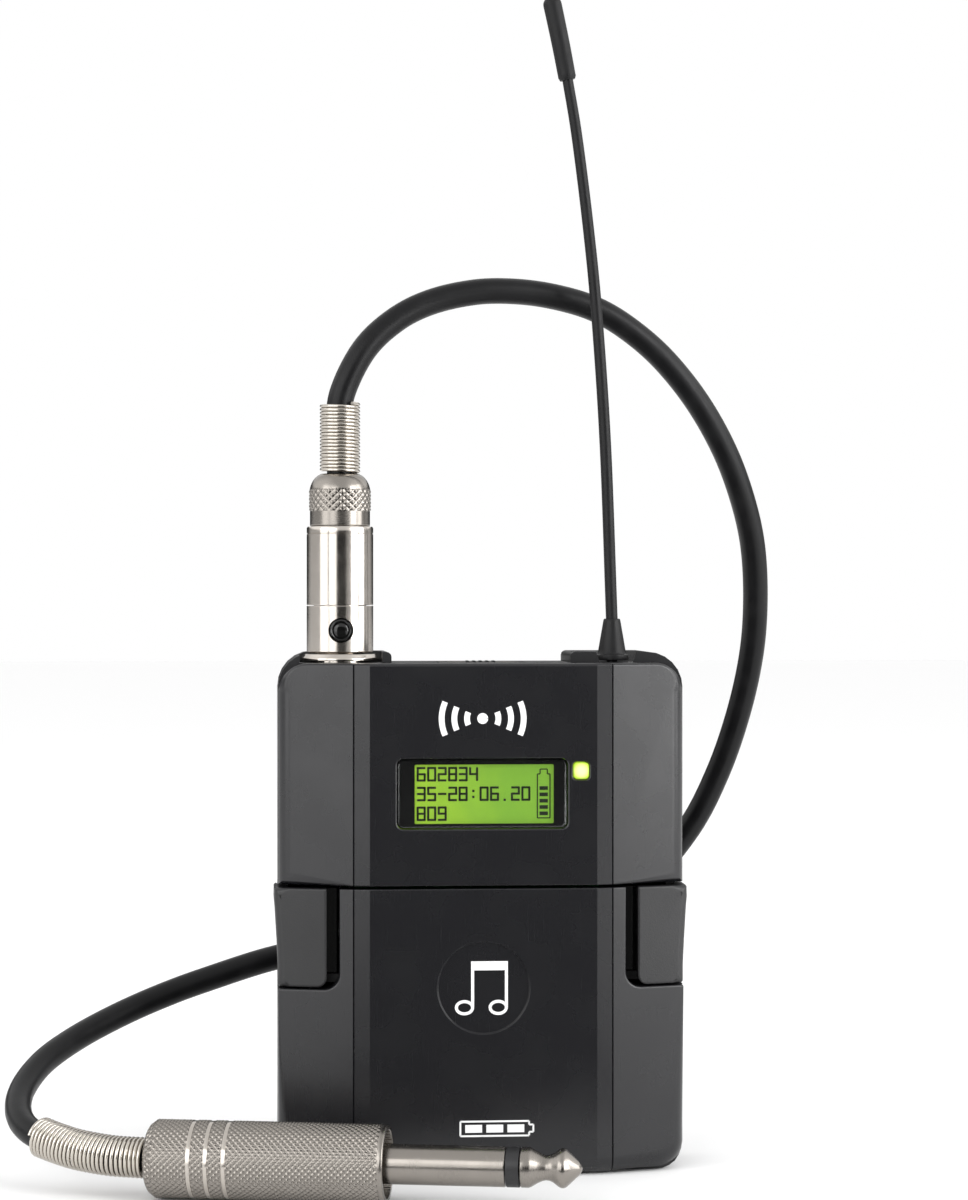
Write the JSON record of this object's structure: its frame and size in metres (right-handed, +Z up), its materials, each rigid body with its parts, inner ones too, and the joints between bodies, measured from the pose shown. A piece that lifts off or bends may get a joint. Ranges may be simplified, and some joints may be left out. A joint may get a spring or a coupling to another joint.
{
  "type": "wireless guitar transmitter",
  "caption": "Belt-worn radio body pack with a display, a flexible whip antenna, a sliding switch, a hinged battery door, a belt clip and a plugged-in guitar lead.",
  "frame": {"origin": "middle of the case's width, on the flat bottom edge that the case stands on, 11 mm in front of its back", "axes": "+Z up along the antenna, the display faces -Y, +X towards the antenna side"},
  "size_m": [0.1323, 0.0774, 0.1978],
  "materials": {
    "charcoal_shell": "satin moulded plastic",
    "dark_plastic": "fine matt moulding",
    "rubber": "smooth dull rubber",
    "nickel": "bright nickel plate",
    "steel": "zinc-plated steel",
    "gold_contact": "gold-flashed brass",
    "circuit_board": "green solder mask",
    "clear_window": "polished clear plastic",
    "display": "lit yellow-green display",
    "lamp": "lit translucent plastic",
    "cell_wrap": "printed foil sleeve"
  },
  "bodies": {
    "case": {"rear_shell": "charcoal_shell", "upper_front_cover": "charcoal_shell", "display_window": "clear_window", "lcd_module": "display", "display_carrier": "dark_plastic", "led_lens": "lamp", "main_board": "circuit_board", "radio_screen_can": "steel", "switch_body": "steel", "switch_plate": "dark_plastic", "key_panel": "dark_plastic", "key_switch_strip": "dark_plastic", "battery_tray": "dark_plastic", "battery_cell_lower": "cell_wrap", "battery_cell_upper": "cell_wrap", "battery_spring_lower": "steel", "battery_spring_upper": "steel", "contact_plate_lower": "gold_contact", "contact_plate_upper": "gold_contact", "case_screw_1": "steel", "case_screw_2": "steel", "case_screw_3": "steel", "case_screw_4": "steel", "door_hinge_pin": "steel", "latch_spring_left": "steel", "latch_spring_right": "steel", "antenna_ferrule": "gold_contact", "antenna_boot": "rubber", "antenna_whip": "rubber", "antenna_tip_sleeve": "rubber", "belt_clip_pin": "steel", "belt_clip_spring": "steel", "socket_shell": "nickel", "socket_insert": "dark_plastic", "socket_pin_1": "gold_contact", "socket_pin_2": "gold_contact", "socket_pin_3": "gold_contact"},
    "door": {"battery_door": "charcoal_shell"},
    "left_tab": {"latch_tab_left": "charcoal_shell"},
    "right_tab": {"latch_tab_right": "charcoal_shell"},
    "switch": {"switch_knob": "dark_plastic"},
    "down_key": {"menu_key_down": "rubber"},
    "set_key": {"menu_key_set": "rubber"},
    "up_key": {"menu_key_up": "rubber"},
    "clip": {"belt_clip": "steel"},
    "lead": {"plug_front_barrel": "nickel", "plug_insert": "dark_plastic", "plug_sleeve": "nickel", "plug_back_cap": "nickel", "plug_spring_relief": "nickel", "guitar_cord": "rubber", "jack_spring_relief": "nickel", "jack_barrel": "nickel", "jack_shaft": "nickel", "jack_insulating_ring": "dark_plastic", "jack_tip": "nickel"},
    "plug_button": {"plug_latch_button": "dark_plastic"}
  },
  "joints": [
    {"name": "door_hinge", "type": "hinge", "parent": "case", "child": "door", "pos_m": [0, -0.008, 0.0032], "axis": [-1, 0, 0], "range_deg": [-55, 0]},
    {"name": "latch_left", "type": "slide", "parent": "case", "child": "left_tab", "axis": [1, 0, 0], "range_m": [0, 0.0018], "stiffness_N_per_m": 600, "springref_m": -0.0005, "deforming": ["latch_spring_left"]},
    {"name": "latch_right", "type": "slide", "parent": "case", "child": "right_tab", "axis": [-1, 0, 0], "range_m": [0, 0.0018], "stiffness_N_per_m": 600, "springref_m": -0.0005, "deforming": ["latch_spring_right"]},
    {"name": "power_switch", "type": "slide", "parent": "case", "child": "switch", "axis": [1, 0, 0], "range_m": [-0.0025, 0.0025]},
    {"name": "key_down", "type": "slide", "parent": "case", "child": "down_key", "axis": [0, 1, 0], "range_m": [0, 0.0004], "stiffness_N_per_m": 400, "springref_m": -0.0005},
    {"name": "key_set", "type": "slide", "parent": "case", "child": "set_key", "axis": [0, 1, 0], "range_m": [0, 0.0004], "stiffness_N_per_m": 400, "springref_m": -0.0005},
    {"name": "key_up", "type": "slide", "parent": "case", "child": "up_key", "axis": [0, 1, 0], "range_m": [0, 0.0004], "stiffness_N_per_m": 400, "springref_m": -0.0005},
    {"name": "clip_hinge", "type": "hinge", "parent": "case", "child": "clip", "pos_m": [0, 0.0142, 0.072], "axis": [1, 0, 0], "range_deg": [0, 14], "stiffness_Nm_per_rad": 0.3, "springref_deg": -5.73},
    {"name": "plug_pull", "type": "slide", "parent": "case", "child": "lead", "axis": [0, 0, 1], "range_m": [0, 0.009]},
    {"name": "plug_latch", "type": "slide", "parent": "lead", "child": "plug_button", "axis": [0, 1, 0], "range_m": [0, 0.0008], "stiffness_N_per_m": 400, "springref_m": -0.0005}
  ]
}
